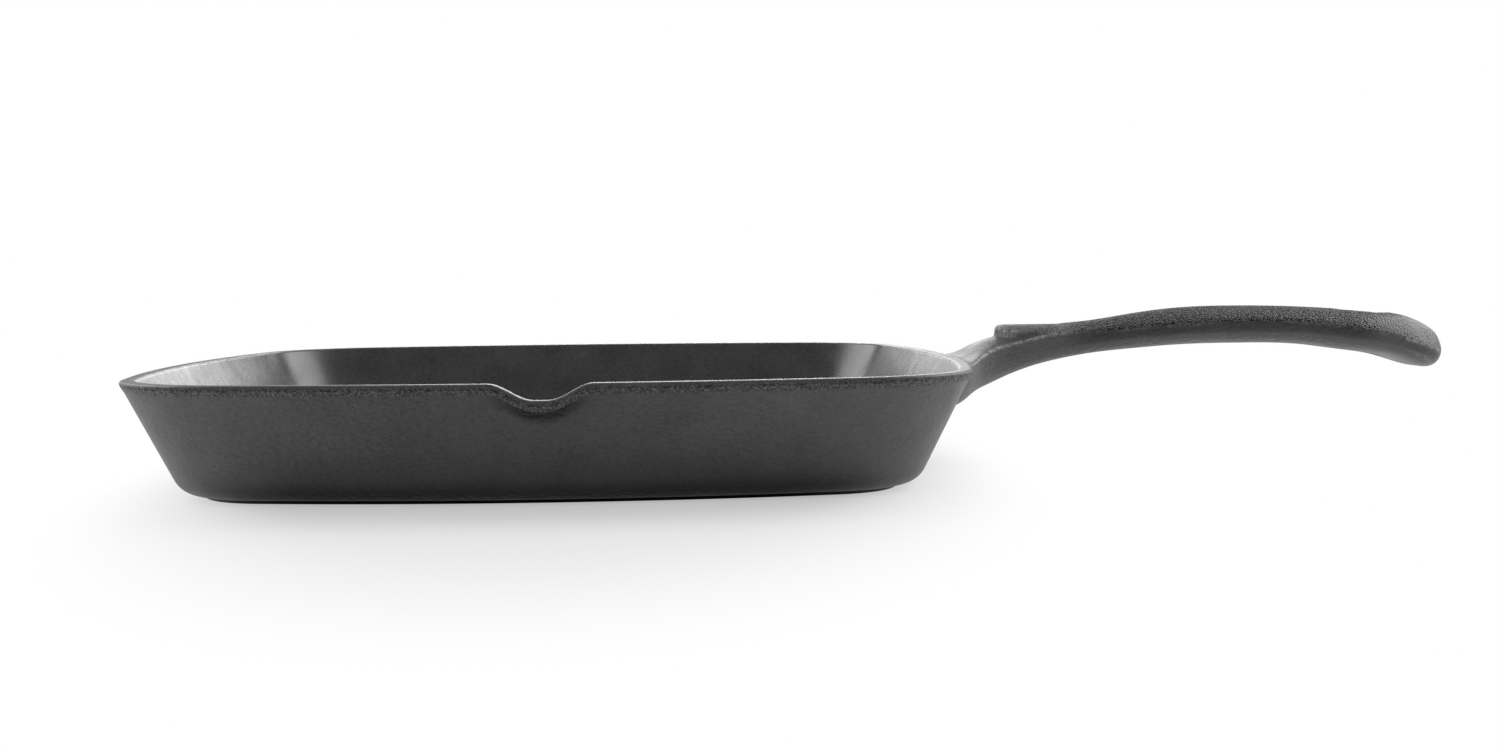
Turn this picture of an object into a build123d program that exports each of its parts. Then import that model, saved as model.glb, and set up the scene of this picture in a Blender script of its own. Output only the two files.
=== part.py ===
from build123d import *
import os
from math import cos, radians, sqrt, tan

# Square grill pan, cast in one piece. Millimetres, +Z up.
# The origin is the centre of the flat face that the pan rests on. +X runs out along the
# handle, and the pouring lip is in the middle of the -Y side. The casting is divided
# where its features meet, so each file below holds one feature and touches the next.

# Bowl of the pan
RIM_SPAN = 267.0
RIM_CORNER_RADIUS = 46.7
SIDE_BOW = 8.5
PAN_HEIGHT = 35.2
WALL_FLARE_DEGREES = 26.4
WALL_THICKNESS = 4.2
FLOOR_THICKNESS = 3.6
OUTER_HEEL_RADIUS = 8.0
INNER_HEEL_RADIUS = 7.0

# Raised pad under the floor
FOOT_HEIGHT = 1.25
FOOT_SETBACK = 1.5
FOOT_EDGE_RADIUS = 0.5

# Thickened band round the rim
BAND_DEPTH = 3.1
BAND_PROUD = 0.3
BAND_EDGE_RADIUS = 0.9

# Pouring lip, set into the band
LIP_WIDTH = 29.0
LIP_MOUTH_WIDTH = 7.0
LIP_DIP = 4.6
LIP_REACH = 2.5

# Raised ribs on the cooking floor
RIB_PITCH = 13.0
RIB_WIDTH = 5.3
RIB_HEIGHT = 4.6
RIB_DRAFT_DEGREES = 11.0
RIB_TOP_RADIUS = 1.1
DRAIN_WIDTH = 7.0

# Handle
HANDLE_LENGTH = 172.8
HANDLE_WIDTH = 34.0
HANDLE_RISE = 16.2
ROOT_REACH = 44.0
ROOT_DEPTH = 22.5
NECK_DISTANCE = 39.0

# Thumb rest, a raised tongue at the near end of the grip
THUMB_START = 15.0
THUMB_RISE = 10.4
THUMB_SEAT = 4.4
THUMB_WIDTH = 20.0
THUMB_CROWN_RADIUS = 22.0
THUMB_EDGE_RADIUS = 2.0

# Hanging hole, a teardrop near the far end that narrows towards the underside
HOLE_WIDTH = 7.5
HOLE_POINT_WIDTH = 4.5
HOLE_LENGTH = 18.0
HOLE_MARGIN = 19.0
HOLE_DRAFT_DEGREES = 3.0
HOLE_EDGE_RADIUS = 0.6

# How far a cutting shape runs past what it cuts
OVERRUN = 20.0

# Stations along the handle, from inside the wall to the tip. Each holds shares of the
# handle's length, of its width for the half widths at the shoulder and the underside,
# and of its rise above the rim for the underside, the shoulder and the crest.
grip_station_shares = (
    (0.222, 0.324, 0.300, -0.085, 0.487, 0.652),
    (0.270, 0.338, 0.312, 0.003, 0.490, 0.700),
    (0.360, 0.400, 0.370, 0.105, 0.550, 0.840),
    (0.460, 0.428, 0.398, 0.178, 0.630, 0.965),
    (0.580, 0.430, 0.400, 0.197, 0.680, 0.997),
    (0.700, 0.440, 0.410, 0.155, 0.640, 0.965),
    (0.800, 0.475, 0.445, 0.015, 0.510, 0.900),
    (0.880, 0.498, 0.465, -0.125, 0.335, 0.832),
    (0.935, 0.462, 0.420, -0.310, 0.145, 0.720),
    (0.968, 0.375, 0.325, -0.365, 0.025, 0.565),
    (0.988, 0.255, 0.215, -0.235, 0.000, 0.425),
    (1.000, 0.110, 0.085, -0.060, 0.025, 0.240),
)

# Stations of the flared root. The half widths are shares of the root's reach along the
# rim, the underside is a share of its depth, and the shoulder and crest are shares of
# the rise above the middle of the rim band.
root_station_shares = (
    (-0.100, 1.000, 0.520, -1.100, 0.000, 0.040),
    (-0.050, 1.000, 0.515, -0.900, 0.000, 0.045),
    (-0.012, 0.930, 0.480, -0.790, 0.000, 0.035),
    (0.014, 0.740, 0.420, -0.685, 0.020, 0.075),
    (0.038, 0.530, 0.350, -0.552, 0.120, 0.265),
    (0.066, 0.390, 0.300, -0.453, 0.240, 0.417),
    (0.103, 0.290, 0.255, -0.330, 0.330, 0.515),
    (0.150, 0.256, 0.232, -0.198, 0.460, 0.614),
)

# How far the rounding of the underside runs, as shares of the side and of the half width
CORNER_RISE_SHARE = 0.6
CORNER_RUN_SHARE = 0.7


def outline_values():
    """Arcs of the rim: bowed sides that run into round corners without a break."""
    half = RIM_SPAN / 2
    run = half - RIM_CORNER_RADIUS
    side_radius = (run**2 + SIDE_BOW**2) / (2 * SIDE_BOW) + RIM_CORNER_RADIUS
    side_centre = half - side_radius
    gap = side_radius - RIM_CORNER_RADIUS
    corner_centre = (side_centre + sqrt(2 * gap**2 - side_centre**2)) / 2
    return side_radius, side_centre, gap, corner_centre


SIDE_RADIUS, SIDE_CENTRE, ARC_GAP, CORNER_CENTRE = outline_values()
FLARE = tan(radians(WALL_FLARE_DEGREES))
HALF_SPAN = RIM_SPAN / 2
BAND_BOTTOM = PAN_HEIGHT - BAND_DEPTH
FLOOR_TOP = FOOT_HEIGHT + FLOOR_THICKNESS
HEEL_TANGENT = tan(radians((90 - WALL_FLARE_DEGREES) / 2))


def outer_inset(z):
    """How far the wall's outside lies inside the rim line at height z."""
    return BAND_PROUD + (PAN_HEIGHT - z) * FLARE


def inner_inset(z):
    """The same for the wall's inside."""
    return outer_inset(z) + WALL_THICKNESS / cos(radians(WALL_FLARE_DEGREES))


def edge_at(inset, across):
    """Distance from the middle to the outline at a place across it."""
    reach = SIDE_RADIUS - inset
    place = abs(across)
    if place <= reach * CORNER_CENTRE / ARC_GAP:
        return SIDE_CENTRE + sqrt(reach**2 - place**2)
    if place >= SIDE_CENTRE + reach * (CORNER_CENTRE - SIDE_CENTRE) / ARC_GAP:
        return sqrt(max(reach**2 - (place - SIDE_CENTRE) ** 2, 0))
    return CORNER_CENTRE + sqrt((RIM_CORNER_RADIUS - inset) ** 2 - (place - CORNER_CENTRE) ** 2)


def outline(inset, z):
    """The pan's plan shape, a set distance inside the rim line, as a face at height z."""
    reach = SIDE_RADIUS - inset
    lean = (CORNER_CENTRE - SIDE_CENTRE) / ARC_GAP
    swing = CORNER_CENTRE / ARC_GAP
    start = Vector(SIDE_CENTRE + reach * lean, -reach * swing, z)
    middle = Vector(HALF_SPAN - inset, 0, z)
    end = Vector(SIDE_CENTRE + reach * lean, reach * swing, z)
    diagonal = CORNER_CENTRE + (RIM_CORNER_RADIUS - inset) * sqrt(0.5)
    corner = Vector(diagonal, diagonal, z)
    after = Vector(reach * swing, SIDE_CENTRE + reach * lean, z)
    edges = []
    for quarter in range(4):
        turn = quarter * 90
        points = [p.rotate(Axis.Z, turn) for p in (start, middle, end, corner, after)]
        edges.append(ThreePointArc(points[0], points[1], points[2]))
        edges.append(ThreePointArc(points[2], points[3], points[4]))
    return Face(Wire(edges))


def flared(low_inset, low_z, high_inset, high_z):
    """A solid with the pan's plan shape that widens evenly from one height to another."""
    return loft([outline(low_inset, low_z), outline(high_inset, high_z)], ruled=True)


def edges_at(shape, z):
    """Edges that lie flat at height z."""
    return shape.edges().filter_by(Plane.XY).filter_by_position(Axis.Z, z, z)


def bowl_outside():
    """Everything inside the wall's outer surface, with its rounded heel."""
    form = flared(outer_inset(FOOT_HEIGHT), FOOT_HEIGHT, outer_inset(PAN_HEIGHT), PAN_HEIGHT)
    return fillet(edges_at(form, FOOT_HEIGHT), OUTER_HEEL_RADIUS)


def bowl_inside():
    """The space inside the wall, run up past the rim, with its rounded heel."""
    top = PAN_HEIGHT + OVERRUN
    form = flared(inner_inset(FLOOR_TOP), FLOOR_TOP, inner_inset(top), top)
    return fillet(edges_at(form, FLOOR_TOP), INNER_HEEL_RADIUS)


def band_outside():
    """Everything inside the band's outer surface, from its lower edge to the rim."""
    low_inset = outer_inset(BAND_BOTTOM) - BAND_PROUD
    return flared(low_inset, BAND_BOTTOM, 0, PAN_HEIGHT)


def dip_curve(lowered):
    """The lip's edge seen from in front: level, down to the mouth and up again."""
    half = LIP_WIDTH / 2
    mouth = LIP_MOUTH_WIDTH / 2
    flank = (half - mouth) / 2
    high = PAN_HEIGHT - lowered
    low = high - LIP_DIP
    y = -HALF_SPAN
    left = Bezier((-half, y, high), (-half + flank, y, high), (-mouth - flank, y, low), (-mouth, y, low))
    floor_line = Line((-mouth, y, low), (mouth, y, low))
    right = Bezier((mouth, y, low), (mouth + flank, y, low), (half - flank, y, high), (half, y, high))
    return [left, floor_line, right]


def lip_region(low_offset, high_edges):
    """A slab across the near wall, from the lowered dip curve up to another edge."""
    half = LIP_WIDTH / 2
    y = -HALF_SPAN
    lower = dip_curve(low_offset)
    low_end = PAN_HEIGHT - low_offset
    if high_edges is None:
        top = PAN_HEIGHT + OVERRUN
        high_edges = [Line((-half, y, top), (half, y, top))]
        high_end = top
    else:
        high_end = PAN_HEIGHT
    ends = [Line((-half, y, low_end), (-half, y, high_end)), Line((half, y, low_end), (half, y, high_end))]
    face = Face(Wire(lower + ends + high_edges))
    return extrude(face, amount=OVERRUN, dir=(0, 1, 0), both=True)


def lip_plan(z):
    """The lip seen from above at height z, bulging out past the rim in its middle."""
    half = LIP_WIDTH / 2
    shift = (PAN_HEIGHT - z) * FLARE
    side = -edge_at(0, half) + shift
    nose = -HALF_SPAN - LIP_REACH + shift
    back = side + OVERRUN
    left = Bezier((-half, side, z), (-half / 2, side, z), (-half / 2, nose, z), (0, nose, z))
    right = Bezier((0, nose, z), (half / 2, nose, z), (half / 2, side, z), (half, side, z))
    rest = Polyline((half, side, z), (half, back, z), (-half, back, z), (-half, side, z))
    return Face(Wire([left, right] + rest.edges()))


def make_foot():
    """Flat pad that the pan stands on."""
    inset = outer_inset(FOOT_HEIGHT) + OUTER_HEEL_RADIUS * HEEL_TANGENT + FOOT_SETBACK
    pad = flared(inset, 0, inset, FOOT_HEIGHT)
    return fillet(edges_at(pad, 0), FOOT_EDGE_RADIUS)


def make_bowl(outside, inside):
    """Floor plate and flared wall. The plate ends where the wall's inner heel begins."""
    shell = outside - inside
    plate_inset = inner_inset(FLOOR_TOP) + INNER_HEEL_RADIUS * HEEL_TANGENT + WALL_THICKNESS / 2
    plate_room = flared(plate_inset, 0, plate_inset, FLOOR_TOP + OVERRUN)
    floor = shell & plate_room
    wall = shell - plate_room
    above = Pos(0, 0, BAND_BOTTOM) * Box(
        2 * RIM_SPAN, 2 * RIM_SPAN, OVERRUN, align=(Align.CENTER, Align.CENTER, Align.MIN)
    )
    wall = wall - above
    notch = lip_region(BAND_DEPTH, None)
    return floor, wall - notch


def make_band(inside):
    """Thickened band round the rim, left out where the lip is."""
    ring = band_outside() - inside
    ring = fillet(edges_at(ring, PAN_HEIGHT), BAND_EDGE_RADIUS)
    gap = Pos(0, -HALF_SPAN, PAN_HEIGHT) * Box(LIP_WIDTH, 2 * OVERRUN, 2 * OVERRUN)
    return ring - gap


def is_lip_brim(edge):
    """True for the lip's upper outer edges."""
    ends = [edge.position_at(0), edge.position_at(1)]
    along = abs(ends[0].X - ends[1].X)
    inner = -HALF_SPAN + WALL_THICKNESS
    outer = max(p.Y for p in ends) < inner
    place = min(ends, key=lambda p: abs(p.X))
    high = place.Z > PAN_HEIGHT - LIP_DIP - BAND_EDGE_RADIUS
    return along > BAND_EDGE_RADIUS and outer and high


def make_lip(inside):
    """Pouring lip: the band dips and swells outwards, and its floor drains the pan."""
    low = BAND_BOTTOM - LIP_DIP - BAND_DEPTH
    block = loft([lip_plan(low), lip_plan(PAN_HEIGHT)], ruled=True)
    strip = lip_region(BAND_DEPTH, dip_curve(0))
    lip = (block & strip) - inside
    brim = [e for e in lip.edges() if is_lip_brim(e)]
    return fillet(brim, BAND_EDGE_RADIUS)


def make_ribs():
    """Parallel ribs, each as long as the floor allows with a drain left all round."""
    lean = RIB_HEIGHT * tan(radians(RIB_DRAFT_DEGREES))
    room = inner_inset(FLOOR_TOP) + INNER_HEEL_RADIUS * HEEL_TANGENT + DRAIN_WIDTH
    count = int((HALF_SPAN - room - RIB_WIDTH / 2) // RIB_PITCH)
    ribs = []
    for step in range(-count, count + 1):
        y = step * RIB_PITCH
        length = 2 * edge_at(room, abs(y) + RIB_WIDTH / 2)
        foot = Pos(0, y, FLOOR_TOP) * SlotOverall(length, RIB_WIDTH)
        crest = Pos(0, y, FLOOR_TOP + RIB_HEIGHT) * SlotOverall(length - 2 * lean, RIB_WIDTH - 2 * lean)
        rib = loft([foot, crest])
        ribs.append(fillet(edges_at(rib, FLOOR_TOP + RIB_HEIGHT), RIB_TOP_RADIUS))
    return ribs


def section(x, top_half, low_half, underside, shoulder, crest):
    """Cross-section of the handle: rounded underside, leaning sides and a crowned top."""
    left = Vector(x, -top_half, shoulder)
    right = Vector(x, top_half, shoulder)
    low_left = Vector(x, -low_half, underside)
    low_right = Vector(x, low_half, underside)
    run = CORNER_RUN_SHARE * low_half
    up_left = low_left + (left - low_left) * CORNER_RISE_SHARE
    up_right = low_right + (right - low_right) * CORNER_RISE_SHARE
    in_left = low_left + Vector(0, run, 0)
    in_right = low_right - Vector(0, run, 0)
    edges = [
        Bezier(left, Vector(x, 0, 2 * crest - shoulder), right),
        Line(right, up_right),
        Bezier(up_right, low_right, in_right),
        Line(in_right, in_left),
        Bezier(in_left, low_left, up_left),
        Line(up_left, left),
    ]
    return Face(Wire(edges))


def handle_sections():
    """Sections from inside the wall, through the flared root and along the grip."""
    sections = []
    for along, top, low, underside, shoulder, crest in root_station_shares:
        sections.append(section(
            HALF_SPAN + along * HANDLE_LENGTH,
            top * ROOT_REACH,
            low * ROOT_REACH,
            PAN_HEIGHT + underside * ROOT_DEPTH,
            PAN_HEIGHT - BAND_DEPTH / 2 + shoulder * HANDLE_RISE,
            PAN_HEIGHT - BAND_DEPTH / 2 + crest * HANDLE_RISE,
        ))
    for along, top, low, underside, shoulder, crest in grip_station_shares:
        sections.append(section(
            HALF_SPAN + along * HANDLE_LENGTH,
            top * HANDLE_WIDTH,
            low * HANDLE_WIDTH,
            PAN_HEIGHT + underside * HANDLE_RISE,
            PAN_HEIGHT + shoulder * HANDLE_RISE,
            PAN_HEIGHT + crest * HANDLE_RISE,
        ))
    return sections


def thumb_plan(length):
    """Tongue outline: a round nose towards the pan and straight sides behind it."""
    start = HALF_SPAN + THUMB_START
    half = THUMB_WIDTH / 2
    return Wire([
        ThreePointArc((start + half, -half), (start, 0), (start + half, half)),
        Line((start + half, half), (start + length, half)),
        Line((start + length, half), (start + length, -half)),
        Line((start + length, -half), (start + half, -half)),
    ])


def thumb_tongue():
    """Raised tongue with a crowned top and softened edges."""
    length = NECK_DISTANCE - THUMB_START
    seat = PAN_HEIGHT + THUMB_SEAT
    top = PAN_HEIGHT + THUMB_RISE
    block = Pos(0, 0, seat) * extrude(
        Face(thumb_plan(length + OVERRUN)), amount=OVERRUN, dir=(0, 0, 1)
    )
    centre = top - THUMB_CROWN_RADIUS
    crown = Pos(HALF_SPAN + NECK_DISTANCE, 0, centre) * Rot(0, 90, 0) * Cylinder(
        THUMB_CROWN_RADIUS, 2 * (NECK_DISTANCE + OVERRUN)
    )
    tongue = block & crown
    rim = [e for e in tongue.edges() if e.center().Z > seat + THUMB_EDGE_RADIUS and e.length > THUMB_WIDTH]
    return fillet(rim, THUMB_EDGE_RADIUS)


def teardrop(z):
    """The hole's outline at height z, wide towards the tip and full size at the crest."""
    shrink = (PAN_HEIGHT + HANDLE_RISE - z) * tan(radians(HOLE_DRAFT_DEGREES))
    wide = HOLE_WIDTH / 2 - shrink
    narrow = HOLE_POINT_WIDTH / 2 - shrink
    wide_x = HALF_SPAN + HANDLE_LENGTH - HOLE_MARGIN - HOLE_WIDTH / 2
    narrow_x = wide_x + (HOLE_WIDTH + HOLE_POINT_WIDTH) / 2 - HOLE_LENGTH
    lean = (wide - narrow) / (wide_x - narrow_x)
    rise = sqrt(1 - lean**2)
    wide_side = Vector(wide_x - wide * lean, wide * rise, z)
    wide_other = Vector(wide_x - wide * lean, -wide * rise, z)
    narrow_side = Vector(narrow_x - narrow * lean, narrow * rise, z)
    narrow_other = Vector(narrow_x - narrow * lean, -narrow * rise, z)
    return Face(Wire([
        ThreePointArc(wide_side, (wide_x + wide, 0, z), wide_other),
        Line(wide_other, narrow_other),
        ThreePointArc(narrow_other, (narrow_x - narrow, 0, z), narrow_side),
        Line(narrow_side, wide_side),
    ]))


def hanging_hole():
    """The drafted hole, from below the grip to above its crest."""
    return loft([teardrop(PAN_HEIGHT - HANDLE_RISE), teardrop(PAN_HEIGHT + HANDLE_RISE)], ruled=True)


def near_hole(edge):
    """True for the edges of the hole's two mouths, not those of its upright sides."""
    box = edge.bounding_box()
    inside_x = box.min.X > HALF_SPAN + HANDLE_LENGTH - HOLE_MARGIN - HOLE_LENGTH - HOLE_EDGE_RADIUS
    beyond_x = box.max.X < HALF_SPAN + HANDLE_LENGTH - HOLE_MARGIN + HOLE_EDGE_RADIUS
    across = max(abs(box.min.Y), abs(box.max.Y))
    upright = box.size.Z > max(box.size.X, box.size.Y)
    return inside_x and beyond_x and across < HOLE_WIDTH and not upright


def make_handle(outside):
    """Root, thumb rest and grip, parted at the neck and under the tongue."""
    bar = loft(handle_sections())
    neck_x = HALF_SPAN + NECK_DISTANCE
    far = Pos(neck_x, 0, 0) * Box(
        2 * HANDLE_LENGTH, RIM_SPAN, RIM_SPAN, align=(Align.MIN, Align.CENTER, Align.CENTER)
    )
    seat = PAN_HEIGHT + THUMB_SEAT
    tongue_room = Pos(0, 0, seat) * extrude(
        Face(thumb_plan(NECK_DISTANCE - THUMB_START)), amount=OVERRUN, dir=(0, 0, 1)
    )
    above_bowl = flared(0, PAN_HEIGHT, 0, PAN_HEIGHT + OVERRUN)
    whole = bar + thumb_tongue()
    near = whole - far
    thumb = near & tongue_room
    root = near - tongue_room - outside - band_outside() - above_bowl
    grip = bar & far
    grip = grip - hanging_hole()
    mouths = [e for e in grip.edges() if near_hole(e)]
    return root, thumb, fillet(mouths, HOLE_EDGE_RADIUS)


outside = bowl_outside()
inside = bowl_inside()
floor, wall = make_bowl(outside, inside)
root, thumb, grip = make_handle(outside)
nodes = {
    "base_foot": make_foot(),
    "pan_floor": floor,
    "pan_wall": wall,
    "rim_band": make_band(inside),
    "pouring_lip": make_lip(inside),
    "grill_ribs": Compound(make_ribs()),
    "handle_root": root,
    "thumb_rest": thumb,
    "handle_grip": grip,
}
for name, shape in nodes.items():
    export_step(shape, f"parts/{name}.step")
    print(name, len(shape.solids()), round(shape.volume))
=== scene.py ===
import math
import bpy
import numpy as np
from mathutils import Matrix


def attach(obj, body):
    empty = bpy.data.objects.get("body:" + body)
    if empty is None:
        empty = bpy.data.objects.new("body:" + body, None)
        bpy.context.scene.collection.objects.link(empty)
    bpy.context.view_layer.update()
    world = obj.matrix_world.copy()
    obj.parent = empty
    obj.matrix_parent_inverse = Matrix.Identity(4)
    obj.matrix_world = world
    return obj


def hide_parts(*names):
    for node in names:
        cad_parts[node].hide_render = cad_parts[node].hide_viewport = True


# Square cast-iron grill pan. Lengths are in millimetres and turned into metres by MM.
# The bowl is swept round its plan outline, the ribs are swept round theirs, and the
# handle is the construction's own root, thumb rest and grip, melted into the wall.

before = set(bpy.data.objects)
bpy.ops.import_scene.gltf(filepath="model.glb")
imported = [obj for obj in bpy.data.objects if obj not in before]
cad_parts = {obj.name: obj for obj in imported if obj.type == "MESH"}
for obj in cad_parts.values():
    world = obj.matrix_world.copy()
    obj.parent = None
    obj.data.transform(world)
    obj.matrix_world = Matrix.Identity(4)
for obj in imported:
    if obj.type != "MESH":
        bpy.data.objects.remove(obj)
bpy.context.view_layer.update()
MM = 0.001

# Bowl, as it is in the construction
RIM_SPAN = 267.0
RIM_CORNER_RADIUS = 46.7
SIDE_BOW = 8.5
PAN_HEIGHT = 35.2
WALL_FLARE_DEGREES = 26.4
WALL_THICKNESS = 4.2
FLOOR_THICKNESS = 3.6
OUTER_HEEL_RADIUS = 8.0
INNER_HEEL_RADIUS = 7.0
FOOT_HEIGHT = 1.25
FOOT_SETBACK = 1.5
FOOT_EDGE_RADIUS = 0.5
BAND_DEPTH = 3.1
BAND_PROUD = 0.3
BAND_STEP = 0.35
BAND_EDGE_RADIUS = 0.9

# Pouring lip
LIP_WIDTH = 28.8
LIP_MOUTH_WIDTH = 3.8
LIP_DIP = 4.6
LIP_REACH = 2.3
LIP_FADE = 13.0
LIP_COLLAR_FADE = 1.5

# Ribs
RIB_PITCH = 13.0
RIB_WIDTH = 5.3
RIB_HEIGHT = 4.6
RIB_DRAFT_DEGREES = 11.0
RIB_TOP_RADIUS = 1.1
RIB_FOOT_RADIUS = 1.0
RIB_SUNK = 0.4
RIB_END_POINTS = 13
DRAIN_WIDTH = 7.0

# Handle: how it melts into the wall, and how its joins are eased
MELT_VOXEL = 0.56
MELT_REACH = 52.0
MELT_DEPTH = 3.2
MELT_LOW = 8.0
MELT_SINK = 0.14
MELT_SINK_FADE = 3 * MELT_SINK
EASE = 0.6
EASE_ROUNDS = 16
EASE_ALONG_GRIP = 0.2
ROOT_END = 12.0
ROOT_END_FADE = 10.0
ROOT_TOP = 40.0
ROOT_TOP_FADE = 3.0

# Casting texture: scales are per metre and heights in metres, as the shaders use them
FLAT_GRAIN = (0.75, 0.75, 1.3)
MOTTLE_SCALE = 60
SPECKLE_SCALE = 900
DULL_SCALE = 140
WAVE_SCALE = 38
WAVE_HEIGHT = 0.0003
PEEL_SCALE = 680
PEEL_HEIGHT = 0.0022
PEBBLE_SCALE = 1600
PEBBLE_HEIGHT = 0.0008
# Pebble gaps are darkened by painted shade and pebble crests lightened by painted highlight
PEBBLE_GAP_START = 0.3
PEBBLE_GAP_END = 0.65
PEBBLE_GAP_SHADE = 0.5
PEBBLE_CREST_START = 0.1
PEBBLE_CREST_END = 0.4
PEBBLE_CREST_HIGHLIGHT = 0.75
PEBBLE_CREST_HIGHLIGHT_LEAST = 0.05
PEBBLE_HIGHLIGHT_GREY = 0.15
GRAIN_SCALE = 1900
GRAIN_HEIGHT = 0.00003
# Lighter patches on the handle's convex edges, partly wear and partly painted highlight, and a painted
# highlight on the nose
WEAR_AND_HIGHLIGHT_SCALE = 700
WEAR_AND_HIGHLIGHT_LEAST = 0.15
WEAR_AND_HIGHLIGHT_MOST = 0.6
WEAR_AND_HIGHLIGHT_PATCH_START = 0.4
WEAR_AND_HIGHLIGHT_PATCH_END = 0.6
WEAR_AND_HIGHLIGHT_GREY = 0.4
DULLER = 0.06
GLOSSIER = 0.05
SPECULAR = 0.5
SHEEN = 0.1
SHEEN_ROUGHNESS = 0.45

# Orange peel: full on the left and middle of the wall, calmer at its ends and foot
PEEL_AT_ENDS = 0.15
PEEL_END = 105.0
PEEL_END_FADE = 60.0
PEEL_RIGHT = 0.5
PEEL_RIGHT_END = 60.0
PEEL_RIGHT_FADE = 60.0
PEEL_AT_FOOT = 0.25
PEEL_FOOT_START = 4.0
PEEL_FOOT_FADE = 10.0
RIM_PEEL = 0.7
HANDLE_PEEL = 0.4

# Painted shade on the wall, under the lip and towards the foot
HEEL_SHADE = 0.5
HEEL_SHADE_HEIGHT = 22.0
HEEL_SHADE_END = 108.0
HEEL_SHADE_FADE = 45.0
FOOT_SHADE = 0.45
FOOT_SHADE_HEIGHT = 9.0
FOOT_SHADE_END = 112.0
FOOT_SHADE_FADE = 30.0
LIP_SHADE_DEPTH = 4.6
LIP_SHADE_DARK = 0.95

# Polish: a mark of POLISH_RANGE takes POLISH_GLOSS off the roughness
POLISH_GLOSS = 0.25
POLISH_RANGE = 5

# Rim: its flat top is rubbed, and a dark line of painted shade runs beneath its edge, in edge radii
RIM_POLISH = 2.0
RIM_TOP_BARE = 0.9
RIM_INSIDE_SHARE = 1 / 3
RIM_SHADE = 0.3
RIM_SHADE_START = 0.2
RIM_SHADE_END = 2.6
RIM_SHADE_FADE = 1.2

# Handle marks, placed by distance beyond the rim and by how far the surface faces up
TIP_START = 137.0
TIP_FADE = 14.0
TIP_BARE = 0.72
CREST_RISE = 0.88
CREST_RISE_FADE = 0.1
CREST_KEPT = 0.85
CROWN_START = 22.0
CROWN_FADE = 8.0
CROWN_RISE = 0.3
CROWN_RISE_FADE = 0.35
CROWN_SHADE = 0.34
NOSE_START = 14.0
NOSE_FADE = 4.0
NOSE_FACING = 0.3
NOSE_FACING_FADE = 0.3
NOSE_POLISH = 3.0
# Painted highlight on the nose's left face
NOSE_HIGHLIGHT = 0.9
NOSE_HIGHLIGHT_END = 26.0
NOSE_HIGHLIGHT_FADE = 6.0
WEB_END = 18.0
WEB_FADE = 6.0
WEB_RISE_FADE = 0.4
WEB_POLISH = 0.8
# Painted shade on the grip's sides below the shoulder and on its crown
SIDE_SHADE = 0.55
SIDE_RISE_FADE = 0.45
SHOULDER_ROUNDS = 60
SHOULDER_RISE = 0.6
SHOULDER_RISE_FADE = 0.35
GRIP_SHADE_START = 34.0
GRIP_SHADE_FADE = 16.0
TIP_SHADE_LOST = 0.7
# Convex edges lightened, partly by wear and partly by painted highlight, less along the grip
WEAR_ROUNDS = 8
WEAR_START = 0.05
WEAR_FADE = 0.1
GRIP_WEAR_LOST = 0.75
GRIP_WEAR_START = 32.0
GRIP_WEAR_END = 146.0
GRIP_WEAR_FADE = 12.0

# Camera, found from the outline of the rim
CAMERA_AZIMUTH = 2.67
CAMERA_ELEVATION = 3.34
CAMERA_ROLL = -0.58
CAMERA_TARGET = (62.61, 0, 29.49)
CAMERA_DISTANCE = 587.7
FOCAL_PIXELS = 1687.9
PICTURE_PIXELS = 1500
SENSOR_WIDTH = 36
NEAREST = 0.01
FARTHEST = 100

# Floor: pale round the pan, with a painted broad shadow there in its seen grey, and white away from it.
# Its fade is an oval, in metres
FLOOR_SIZE = 6.0
FLOOR_GREY = 0.75
# The seen grey is darker than the grey that lights the pan: a painted broad shadow round it
FLOOR_SHADOW_GREY_SEEN = 0.6
FLOOR_ROUGHNESS = 0.9
FLOOR_LIFT = 0.44
OVAL_STRETCH = (1.6, 0.75, 1)
OVAL_SHIFT = (-0.004, 0, 0)
FLOOR_FADE_START = 0.14
FLOOR_FADE_END = 0.24

# Dark cloth overhead, in metres
CANOPY_REACH = 7.8
CANOPY_HEIGHT = 2.47
CANOPY_GREY = 0.12

# Light of the surroundings on the pan, where 1 is white
WORLD_LIGHT = 0.72

# Mesh spacing
SIDE_STEP = 2.2
LIP_STEP = 0.7
CORNER_STEP = 1.8
PROFILE_STEP = 2.2
COLLAR_STEP = 0.5
ARC_STEP = 0.6
MIDDLE_SHARES = (0.08, 0.3, 0.55, 0.8)
SHARP_DEGREES = 50
RIB_SHARP_DEGREES = 60
NEVER_SHARP_DEGREES = 180

HALF_SPAN = RIM_SPAN / 2
FLARE_ANGLE = math.radians(WALL_FLARE_DEGREES)
FLARE = math.tan(FLARE_ANGLE)
BAND_BOTTOM = PAN_HEIGHT - BAND_DEPTH
FLOOR_TOP = FOOT_HEIGHT + FLOOR_THICKNESS
HEEL_TANGENT = math.tan(math.radians((90 - WALL_FLARE_DEGREES) / 2))


# Plan outline and profiles
def outline_values():
    """Arcs of the rim: bowed sides that run into round corners without a break."""
    run = HALF_SPAN - RIM_CORNER_RADIUS
    side_radius = (run**2 + SIDE_BOW**2) / (2 * SIDE_BOW) + RIM_CORNER_RADIUS
    side_centre = HALF_SPAN - side_radius
    gap = side_radius - RIM_CORNER_RADIUS
    corner_centre = (side_centre + math.sqrt(2 * gap**2 - side_centre**2)) / 2
    turn = math.atan2(corner_centre, corner_centre - side_centre)
    return side_radius, side_centre, corner_centre, turn


SIDE_RADIUS, SIDE_CENTRE, CORNER_CENTRE, SIDE_TURN = outline_values()


def outer_inset(z):
    """How far the outer face of the wall lies inside the rim line at a height."""
    return BAND_PROUD + (PAN_HEIGHT - z) * FLARE


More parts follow.
